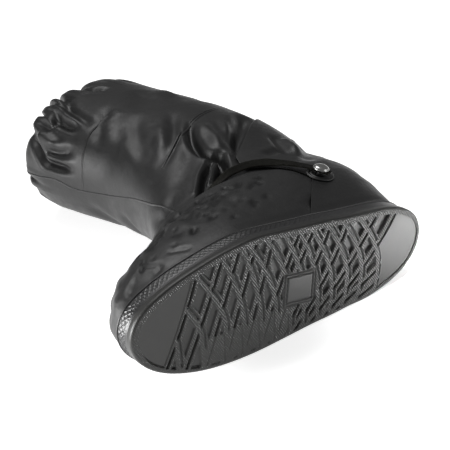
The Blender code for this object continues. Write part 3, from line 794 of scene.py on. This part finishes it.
def sheet_finish(name, dark, light, roughness, lumps):
    """Coated sheet: a fine leathery print under a soft sheen, with slow unevenness."""
    finish, tree, shader = new_finish(name, dark, light, roughness, Specular_IOR_Level=SHEET_GLOSS)
    print_cells = add_node(tree, "ShaderNodeTexVoronoi", {"Scale": 1100.0}, feature="SMOOTH_F1")
    place = add_node(tree, "ShaderNodeTexCoord")
    tree.links.new(place.outputs["Object"], print_cells.inputs["Vector"])
    emboss(tree, shader, ((grain(tree, 42.0, 3.0), lumps), (grain(tree, 260.0), 0.16),
                          (print_cells.outputs["Distance"], 0.05)))
    return finish


shaft_sheet = sheet_finish(
    "shaft_sheet", (0.0046, 0.0046, 0.0048), (0.0072, 0.0072, 0.0072), (0.40, 0.50), lumps=0.25)

share = np.arange(UPPER_TURNS) / UPPER_TURNS
turns = share - CLOSER * np.sin(2 * np.pi * (share - CLOSER_TURN)) / (2 * np.pi)
climbs = np.concatenate(UPPER_CLIMBS)
grid_climb, grid_turn = np.meshgrid(climbs, turns, indexing="ij")
outside = folded_point(grid_turn.ravel(), grid_climb.ravel())
inside_turns = np.arange(INSIDE_TURNS) / INSIDE_TURNS
inside_climbs = np.linspace(HEM, 0.0, INSIDE_CLIMBS)
grid_climb, grid_turn = np.meshgrid(inside_climbs, inside_turns, indexing="ij")
lining = folded_point(grid_turn.ravel(), grid_climb.ravel(), -WALL, INSIDE_WIDENED)
number = np.arange(len(outside)).reshape(len(climbs), UPPER_TURNS)
lining_number = len(outside) + np.arange(len(lining)).reshape(INSIDE_CLIMBS, INSIDE_TURNS)
faces = quads(number, closed=True) + quads(lining_number, closed=True)


def joined(outer, outer_turns, inner, inner_turns):
    """Triangles between two closed rings with different numbers of points."""
    steps = [(turn, False) for turn in (*outer_turns[1:], outer_turns[0] + 1)]
    steps += [(turn, True) for turn in (*inner_turns[1:], inner_turns[0] + 1)]
    made = []
    i = j = 0
    for _, on_inner in sorted(steps):
        here, there = outer[i % len(outer)], inner[j % len(inner)]
        if on_inner:
            j += 1
            ahead = inner[j % len(inner)]
        else:
            i += 1
            ahead = outer[i % len(outer)]
        made.append((int(here), int(ahead), int(there)))
    return made


faces += joined(number[-1], turns, lining_number[0], inside_turns)
faces += joined(number[0], turns, lining_number[-1], inside_turns)
upper = make("shaft", np.concatenate((outside, lining)), faces, shaft_sheet)
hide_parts("upper")

# Seams of the shaft
# Where the shaft's sheets lap and are welded: down the front, slanting over the ankle, and round below the
# hem. Each is a narrow edge that stands a little proud of the sheet. Two run side by side at the ankle.
SEAM_SECTION = (  # across, out
    (-1.5, -0.2), (-1.4, 0.05), (-0.5, 0.42), (0.25, 0.55), (0.7, 0.35), (0.85, -0.2),
)
SEAM_STEPS = 26
SEAM_END = 0.15  # share of its length over which a seam sinks at each end
SEAM_END_RISE = 0.2
FRONT_SEAM = (
    (186, 392), (185, 379), (181, 333), (184, 304), (180, 255), (164, 185), (146, 148), (128, 108),
)
ANKLE_SEAM = ((131, 190), (112, 206), (93, 226), (85, 234), (62, 247))
HEM_SEAM = ((118, 309), (124, 306), (133, 304), (146, 300), (159, 297), (172, 295), (182, 295))
SEAMS = table(
    "name route offset rise",
    ("front_seam", FRONT_SEAM, 0.0, 1.0),
    ("ankle_seam_rear", ANKLE_SEAM, 0.0, 1.0),
    ("ankle_seam_front", ANKLE_SEAM, 3.0, 1.0),
    ("hem_seam", HEM_SEAM, 0.0, 0.6),
)


def seam_strip(name, route, offset, rise):
    """A welded edge along a route, lying on the folded upper."""
    turn, climb = smooth_route(route, SEAM_STEPS)
    line = folded_point(turn, climb)
    out = upper_normal(turn, climb)
    side = unit(np.cross(out, np.gradient(line, axis=0)))
    section = np.array(SEAM_SECTION)
    share = np.linspace(0.0, 1.0, len(line))
    fade = mix(SEAM_END_RISE, rise, eased(share / SEAM_END) * eased((1 - share) / SEAM_END))[:, None, None]
    height = np.where(section[None, :, 1:] > 0, section[None, :, 1:] * fade, section[None, :, 1:])
    points = line[:, None] + side[:, None] * (section[None, :, :1] + offset) + out[:, None] * height
    return make(name, points.reshape(-1, 3), tube(len(line), len(section)), shaft_sheet)


for seam in [seam_strip(*row) for row in SEAMS]:
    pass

# Vamp panel
# A second sheet of the same stuff over the toe and the instep, welded along its lower edge and its rear
# seam. Its top edge is free and stands a little proud, and small dents pock it.
PANEL_GAP = 0.7
PANEL_SHEET = 1.5
PANEL_FOOT = 22.75  # just over the bead of the foxing band
VAMP_REAR = table(SIDE_EDGE, (PANEL_FOOT, 105.85), (76.0, 60.4))
TOE_CLEARANCE = 0.9  # more room over the bead where the sole springs up
VAMP_ROWS = 84
VAMP_COLUMNS = 300
EDGES_CLOSER = 0.75  # how much the rows and columns crowd at a panel's edges
EDGE_ROLL = 1.6  # width over which a panel's edge rolls off
EDGE_LEFT = 0.3  # share of the sheet's thickness left at that edge
SEAM_ROLL = 0.9  # how much less of that roll a welded side edge has
DENT_LIMIT = 3.4  # no dent in a panel goes deeper
Dent = namedtuple("Dent", "turn height depth radius")
VAMP_FOLDS = table(
    FOLD,
    (2.2, 9, ((134, 28), (139, 33), (146, 40), (150, 46))),
    (-0.7, 7, ((150, 32), (158, 40), (163, 52))),
    (1, 5, ((173, 58), (173, 45), (172, 30), (175, 24))),
    (1, 5, ((62, 50), (67, 42), (72, 34))),
    (1.1, 6, ((120, 60), (128, 74), (136, 84))),
    (1.1, 6, ((106, 56), (112, 70), (120, 90))),
    (-1, 7, ((112, 60), (120, 78), (128, 92))),
    (1.2, 6, ((92, 62), (97, 80), (101, 98))),
    (1.2, 8, ((150, 66), (160, 82), (168, 96))),
    (-0.8, 9, ((168, 60), (172, 78), (178, 96))),
    (1.2, 8, ((190, 70), (200, 84), (214, 92))),
    (1, 4, ((151, 96), (144, 80), (139, 62), (137, 50))),
    (0.9, 3.5, ((160, 90), (154, 72), (150, 55))),
    (-0.7, 4, ((166, 76), (159, 60), (153, 47))),
    (1.1, 3, ((141, 54), (136, 44), (131, 35))),
    (1.3, 3, ((127, 46), (122, 38), (117, 31))),
    (0.8, 3.5, ((173, 88), (167, 70), (164, 54))),
    (0.8, 3, ((179, 72), (176, 56), (177, 40))),
    (-0.7, 3.5, ((184, 66), (183, 50), (186, 36))),
    (1.2, 3, ((112, 92), (107, 80), (104, 70))),
    (1.2, 2.6, ((100, 108), (95, 97), (92, 88))),
)
VAMP_DENTS = 110
INNER_DENTS = 36
INNER_SHARE = 0.5  # how deep the inner side's dents are beside the others
DENT_DEPTHS = (0.5, 1.4)
DENT_RADII = (1.6, 3.4)
DENT_RUN = (0.71, 0.0, -0.71)
DENT_STRETCH = 0.7
DENT_SHADE_DEPTH = 1.0  # depth at which a dent's painted shade, its lowered gloss, is strongest
DENT_SHADE_GLOSS = 0.24
TOE_DENTS = (
    Dent(150, 36, 2.2, 3.2), Dent(133, 33, 2.0, 3.0), Dent(67, 42, 1.8, 4.5), Dent(168, 46, 0.8, 4.0),
)


def turn_at(station, height):
    """Turn on the outer side where the upper reaches a station at a height."""
    station, height = np.broadcast_arrays(station, height)
    return solve(lambda turn: upper_point(turn, climb_at(turn, height))[..., 0] - station,
                 np.zeros(station.shape), np.full(station.shape, 0.5))


def close_at_ends(count):
    """Shares from 0 to 1 that crowd together at both ends."""
    even = np.linspace(0.0, 1.0, count)
    return mix(even, eased(even), EDGES_CLOSER)


def panel_places(side_edge, top_edge, at_toe, rows, columns):
    """Turns and climbs over a panel, row by row, and each place's distance from the panel's free edges."""
    station = curves(side_edge, "height")["station"]
    top_height = curves(top_edge, "station")["height"]
    low, corner = side_edge[0].height, side_edge[-1].height
    up = close_at_ends(rows)
    side_height = mix(low, corner, up)
    side = turn_at(station(side_height), side_height)
    other = 1 - side if at_toe else -side
    turn = mix(side[:, None], other[:, None], close_at_ends(columns)[None, :])

    def over_top(climb):
        points = upper_point(turn[-1], climb)
        return points[..., 2] - top_height(points[..., 0])

    top = upper_point(turn[-1], solve(over_top, np.zeros(columns), np.full(columns, HEM)))[..., 2]
    foot_x = upper_point(turn, np.ones(turn.shape))[..., 0]
    sprung = eased((foot_x - TOE_SPRING_START) / (SOLE_LENGTH - TOE_SPRING_START))
    foot = low + lift(foot_x) + TOE_CLEARANCE * sprung
    climb = climb_at(turn, mix(foot, top[None, :], up[:, None]))
    points = upper_point(turn, climb)
    from_top = np.linalg.norm(points - points[-1:], axis=-1)
    from_side = np.minimum(np.linalg.norm(points - points[:, :1], axis=-1),
                           np.linalg.norm(points - points[:, -1:], axis=-1))
    return turn, climb, np.minimum(from_top, from_side + SEAM_ROLL)


def panel_sheet(name, places, out, finish, pocked):
    """A panel with its thickness, its edges rolled off, lying over the upper."""
    turn, climb, from_edge = places
    rows, columns = turn.shape
    base = upper_point(turn, climb)
    normal = upper_normal(turn, climb)
    roll = np.sqrt(np.clip(1 - (1 - np.clip(from_edge / EDGE_ROLL, 0.0, 1.0)) ** 2, 0.0, 1.0))
    out = np.where(out < 0, -DENT_LIMIT * np.tanh(-out / DENT_LIMIT), out)
    outer = base + normal * (PANEL_GAP + PANEL_SHEET * mix(EDGE_LEFT, 1.0, roll) + out)[..., None]
    inner = base + normal * (PANEL_GAP + np.minimum(out, 0.0))[..., None]
    number = np.arange(2 * rows * columns).reshape(2, rows, columns)
    around = [np.concatenate((side[0], side[1:, -1], side[-1, -2::-1], side[-2:0:-1, 0]))
              for side in number]
    faces = quads(number[0]) + quads(number[1]) + quads(np.array(around), closed=True)
    points = np.concatenate((outer.reshape(-1, 3), inner.reshape(-1, 3)))
    return make(name, points, faces, finish, sharp_angle=60, pocked=np.tile(pocked, 2))


def dented(points, dents):
    """How far small dents, drawn out a little towards the toe and the sole, press each point in."""
    out = np.zeros(len(points))
    for dent in dents:
        turn = np.array([dent.turn / 360])
        place = upper_point(turn, climb_at(turn, np.array([dent.height])))[0]
        offset = points - place
        apart = np.sum(offset ** 2, axis=1) - DENT_STRETCH * (offset @ np.array(DENT_RUN)) ** 2
        out -= dent.depth * np.exp(-apart / dent.radius ** 2)
    return out


def scattered(count, turns, heights, seed):
    """Small dents scattered between two turns and two heights."""
    chance = np.random.default_rng(seed)
    return [
        Dent(*(chance.uniform(*limits) for limits in (turns, heights, DENT_DEPTHS, DENT_RADII)))
        for _ in range(count)
    ]


panel_finish = sheet_finish(
    "panel_sheet", (0.0042, 0.0042, 0.0044), (0.0070, 0.0070, 0.0070), (0.38, 0.50), lumps=0.35)
tree = panel_finish.node_tree
# Painted shade: the gloss falls with each dent's depth, so the dents read dark as if shaded.
dent_shade_gloss = remapped(tree, mark(tree, "pocked"), 0.0, DENT_SHADE_DEPTH, SHEET_GLOSS, DENT_SHADE_GLOSS)
tree.links.new(dent_shade_gloss, tree.nodes["Principled BSDF"].inputs["Specular IOR Level"])
places = panel_places(VAMP_REAR, VAMP_TOP, True, VAMP_ROWS, VAMP_COLUMNS)
points = upper_point(places[0], places[1]).reshape(-1, 3)
pocks = dented(points, scattered(VAMP_DENTS, (83, 144), (46, 106), seed=4))
inner_pocks = dented(points, scattered(INNER_DENTS, (160, 280), (50, 108), seed=5))
out = folded(points, VAMP_FOLDS) + pocks + INNER_SHARE * inner_pocks + dented(points, TOE_DENTS)
vamp = panel_sheet("vamp_sheet", places, out.reshape(places[0].shape), panel_finish, -pocks)
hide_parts("vamp_panel")

# Heel panel
# The sheet that stiffens the back of the foot, welded into the sole and overlapping the shaft. Its slanting
# top edge runs from the strap up to the back of the ankle, and it buckles softly over the heel.
HEEL_SIDE = table(SIDE_EDGE, (PANEL_FOOT, 105.5)) + HEEL_FRONT[1:]
HEEL_ROWS = 90
HEEL_COLUMNS = 170
HEEL_FOLDS = table(
    FOLD,
    (3.5, 5, ((57, 176), (57, 166), (58, 147), (59, 131), (60, 124))),
    (-2.5, 6, ((50, 170), (51, 150), (53, 132))),
    (2.5, 4, ((76, 142), (70, 140), (64, 142), (61, 137), (58, 132))),
    (4, 7, ((22, 174), (27, 165), (35, 148), (50, 120), (56, 108))),
    (-2.5, 8, ((36, 176), (44, 150), (54, 122))),
    (2, 9, ((-40, 130), (-8, 150), (16, 156))),
    (-1.5, 9, ((-36, 170), (0, 186), (24, 190))),
    (1.5, 9, ((-40, 70), (0, 84), (34, 78))),
)
places = panel_places(HEEL_SIDE, HEEL_TOP, False, HEEL_ROWS, HEEL_COLUMNS)
points = upper_point(places[0], places[1]).reshape(-1, 3)
out = folded(points, HEEL_FOLDS)
heel = panel_sheet("heel_sheet", places, out.reshape(places[0].shape), panel_finish, np.zeros(len(points)))
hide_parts("heel_panel")

# Strap
# Flat woven elastic, sewn in under the free edge of the vamp and stretched round the outer ankle to the
# snap. It stands clear of the sheet over the heel.
STRAP_WIDTH = 8.5
STRAP_THICKNESS = 1.6
STRAP = table(
    "station height stand_off",
    (141, 115, 0.1), (127, 122.8, 0.4), (112, 126.2, 1), (97, 126, 1.9),
    (80, 119.5, 2.8), (66, 105.5, 3.6), (55, 88, 5.6), (46, 70, 6.6),
)
STRAP_STEPS = 220
STRAP_SECTION = (  # across as a share of the half width, and up as a share of the thickness
    (-0.9, 0.0), (0.9, 0.0), (0.97, 0.12), (1.0, 0.5), (0.97, 0.86), (0.88, 1.0),
    (0.5, 0.95), (0.0, 0.93), (-0.5, 0.95), (-0.88, 1.0), (-0.97, 0.86), (-1.0, 0.5), (-0.97, 0.12),
)
STRAP_SEWN = 0.16  # share of its thickness where it is sewn flat under the vamp
SEWN_RUN = 0.3  # share of its length over which it comes to full thickness
STRAP_TILT = 24.0  # its upper edge stands out where it bridges the ankle
TILT_GROWS = (0.12, 0.2)  # share of its length where the tilt begins, and over which it grows
TILT_ENDS = (0.87, 0.3)  # and where it ends, and over which it shrinks
WEFT_PITCH = 1.1

webbing, tree, shader = new_finish(
    "strap_webbing", (0.0042, 0.0040, 0.0026), (0.0075, 0.0070, 0.0048), (0.8, 0.95),
    Specular_IOR_Level=0.15, Sheen_Weight=0.02)
weft = node_math(tree, "SINE", node_math(tree, "MULTIPLY", mark(tree, "along"), 2 * np.pi / WEFT_PITCH))
warp = node_math(tree, "SINE", node_math(tree, "MULTIPLY", mark(tree, "across"), 2 * np.pi / WEFT_PITCH))
emboss(tree, shader, ((node_math(tree, "MULTIPLY", weft, warp), 0.2), (grain(tree, 2500.0), 0.1)))

strap_table = curves(STRAP)


def strap_path(share):
    row = share * (len(STRAP) - 1)
    turn = turn_at(strap_table["station"](row), strap_table["height"](row))
    climb = climb_at(turn, strap_table["height"](row))
    out = upper_normal(turn, climb)
    return upper_point(turn, climb) + out * strap_table["stand_off"](row)[:, None], out


share = np.linspace(0.0, 1.0, STRAP_STEPS)
path, out = strap_path(share)
along = np.gradient(path, axis=0)
across = unit(np.cross(out, along))
tilted = eased((share - TILT_GROWS[0]) / TILT_GROWS[1]) * eased((TILT_ENDS[0] - share) / TILT_ENDS[1])
tilt = radians(STRAP_TILT) * tilted[:, None]
path = path + out * np.sin(tilt) * STRAP_WIDTH / 2
across, out = across * np.cos(tilt) + out * np.sin(tilt), out * np.cos(tilt) - across * np.sin(tilt)
section = np.array(STRAP_SECTION)
thickness = STRAP_THICKNESS * mix(STRAP_SEWN, 1.0, eased(share / SEWN_RUN))[:, None, None]
points = (path[:, None] + across[:, None] * section[None, :, :1] * STRAP_WIDTH / 2
          + out[:, None] * section[None, :, 1:] * thickness)
strap = make("strap_webbing", points.reshape(-1, 3), tube(STRAP_STEPS, len(section)), webbing,
             sharp_angle=50, along=np.repeat(travelled(path), len(section)),
             across=np.tile(section[:, 0] * STRAP_WIDTH / 2, STRAP_STEPS))
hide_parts("strap")

# Snap patch
# A round patch of the coated sheet, welded to the heel panel under the snap. The welding tool left two
# rings in it.
GAP = 0.35  # left between a piece of the snap and the next
SNAP_SHARE = 0.94  # place of the snap along the strap
PATCH_RADIUS = 13.0
PATCH_THICKNESS = 1.0
PATCH_RINGS = (11.6, 8.8)
RING_HEIGHT = 0.6
RING_HALF_WIDTH = 0.6
ROUND_SIDES = 96

snap_place, snap_out = (values[0] for values in strap_path(np.array([SNAP_SHARE])))
snap_across = unit(np.cross(snap_out, np.array((0.0, 0.0, 1.0))))
snap_up = np.cross(snap_out, snap_across)
stand_off = float(strap_table["stand_off"](SNAP_SHARE * (len(STRAP) - 1)))
patch_low = PANEL_GAP + PANEL_SHEET + GAP - stand_off
patch_high = patch_low + PATCH_THICKNESS


def turned(name, profile, finish, sharp_angle=None):
    """A round piece on the snap's axis, from rows of radius and height above the strap's underside."""
    angle = 2 * np.pi * np.arange(ROUND_SIDES) / ROUND_SIDES
    spoke = np.cos(angle)[:, None] * snap_across + np.sin(angle)[:, None] * snap_up
    points = [snap_place + snap_out * height + spoke * radius for radius, height in profile]
    return make(name, np.concatenate(points), tube(len(profile), ROUND_SIDES), finish, sharp_angle)


patch_profile = [
    (PATCH_RADIUS - 0.3, patch_low), (PATCH_RADIUS, patch_low + 0.3), (PATCH_RADIUS - 0.2, patch_high),
]
for radius in np.arange(PATCH_RADIUS - 0.6, 0.5, -0.35):
    ring = sum(bell(radius - at, RING_HALF_WIDTH) for at in PATCH_RINGS)
    patch_profile.append((radius, patch_high + RING_HEIGHT * ring))
patch = turned("snap_patch_disc", patch_profile, panel_finish)
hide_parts("snap_patch")

# Snap
# Pressed steel with bright plating: a stud riveted through the patch, and a domed cap with a rolled rim
# that holds the strap's end on it. The stud is drawn near black, as painted shade for the shadow under the
# strap's end.
STUD_RADIUS = 4.5
CAP_RADIUS = 7.5
CAP_HEIGHT = 3.6
CAP_RIM = (  # share of the radius, height
    (0.88, 0.0), (0.96, 0.1), (1.0, 0.5), (0.985, 0.95), (0.93, 1.15), (0.88, 1.1),
)
DOME_SHARE = 0.88  # the dome inside the rim, as a share of the cap's radius
DOME_LOW = 1.0
DOME_ROWS = 14


def metal_finish(name, dark, light, roughness):
    finish, tree, shader = new_finish(name, dark, light, roughness, Metallic=1.0)
    emboss(tree, shader, ((grain(tree, 1200.0), 0.01),))
    return finish


plated = metal_finish("plated_snap", (0.36, 0.36, 0.355), (0.46, 0.46, 0.45), (0.16, 0.28))
# Painted shade: the stud's near-black finish stands for the shadow under the strap's end.
stud_shade_finish = metal_finish("stud_painted_shade", (0.03, 0.03, 0.031), (0.05, 0.05, 0.05), (0.35, 0.5))
stud_low = patch_high + GAP
stud = turned("snap_stud_post", (
    (STUD_RADIUS - 0.3, stud_low), (STUD_RADIUS, stud_low + 0.2), (STUD_RADIUS - 0.2, stud_low + 0.6),
    (STUD_RADIUS * 0.75, stud_low + 0.9), (STUD_RADIUS * 0.7, -0.7), (STUD_RADIUS * 0.66, -0.35),
), stud_shade_finish, sharp_angle=40)
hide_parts("snap_stud")
cap_low = STRAP_THICKNESS + 2 * GAP
cap_profile = [(CAP_RADIUS * share, cap_low + height) for share, height in CAP_RIM]
for angle in np.linspace(0.1, 0.49 * np.pi, DOME_ROWS):
    height = DOME_LOW + (CAP_HEIGHT - DOME_LOW) * np.sin(angle)
    cap_profile.append((CAP_RADIUS * DOME_SHARE * np.cos(angle), cap_low + height))
cap = turned("snap_cap_dome", cap_profile, plated)
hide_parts("snap_cap")

# Floor, light and camera
# A plain pale floor that glows a little, in a white room. Broad lamps light the shoe from both sides and
# from above, a narrow one whitens the floor before the heel, and a small low one picks out the toe. The
# camera stands where the photograph was taken from.
FLOOR_SIZE = 8.0
FLOOR_GLOW = 0.70
ROOM_LIGHT = 0.20
CAMERA_PLACE = Vector((-0.68936, -1.16971, 0.68514))
CAMERA_FORWARD = Vector((0.49326, 0.75207, -0.43713))
CAMERA_DOWN = Vector((-0.35235, -0.28671, -0.89087))
CAMERA_LENS = 128.0
CAMERA_SENSOR = 36.0

floor_finish = bpy.data.materials.new("pale_floor")
floor_finish.use_nodes = True
floor_shader = floor_finish.node_tree.nodes["Principled BSDF"]
floor_shader.inputs["Base Color"].default_value = (0.9, 0.9, 0.9, 1.0)
floor_shader.inputs["Roughness"].default_value = 0.9
floor_shader.inputs["Emission Color"].default_value = (1.0, 1.0, 1.0, 1.0)
floor_shader.inputs["Emission Strength"].default_value = FLOOR_GLOW
floor_mesh = bpy.data.meshes.new("floor")
half = FLOOR_SIZE / 2
corners = [(-half, -half, 0.0), (half, -half, 0.0), (half, half, 0.0), (-half, half, 0.0)]
floor_mesh.from_pydata(corners, [], [(0, 1, 2, 3)])
floor_mesh.materials.append(floor_finish)
floor = new_object("floor", floor_mesh)

world = bpy.data.worlds.new("white_room")
world.use_nodes = True
background = world.node_tree.nodes["Background"]
background.inputs["Color"].default_value = (1.0, 1.0, 1.0, 1.0)
background.inputs["Strength"].default_value = ROOM_LIGHT
bpy.context.scene.world = world


def lamp(name, place, aim, size, power, cone=180):
    """A flat lamp. Places and size are in metres, power in watts and the cone of its light in degrees."""
    data = bpy.data.lights.new(name, "AREA")
    data.shape = "RECTANGLE"
    data.size, data.size_y = size
    data.energy = power
    data.spread = radians(cone)
    made = new_object(name, data)
    made.location = place
    made.rotation_euler = (Vector(aim) - Vector(place)).to_track_quat("-Z", "Y").to_euler()


lamp("left_lamp", (-0.95, 0.25, 0.30), (-0.08, -0.15, 0.05), (0.6, 0.45), 6.4)
lamp("right_lamp", (0.75, -0.95, 0.40), (0.1, -0.15, 0.05), (0.6, 0.6), 2.5)
lamp("floor_lamp", (0.26, -0.42, 0.70), (0.20, -0.32, 0.0), (0.15, 0.15), 1.0, cone=22)
lamp("toe_lamp", (-0.60, 0.10, 0.14), (-0.14, -0.17, 0.05), (0.3, 0.2), 0.6, cone=60)
lamp("top_lamp", (0.1, 0.6, 1.6), (0.0, 0.0, 0.0), (1.0, 0.8), 13.0)

camera = new_object("camera", bpy.data.cameras.new("camera"))
camera.data.lens = CAMERA_LENS
camera.data.sensor_width = CAMERA_SENSOR
camera_right = CAMERA_DOWN.cross(CAMERA_FORWARD)
camera_turn = Matrix((camera_right, -CAMERA_DOWN, -CAMERA_FORWARD)).transposed()
camera.matrix_world = Matrix.Translation(CAMERA_PLACE) @ camera_turn.to_4x4()
bpy.context.scene.camera = camera
bpy.context.scene.view_settings.view_transform = "Standard"
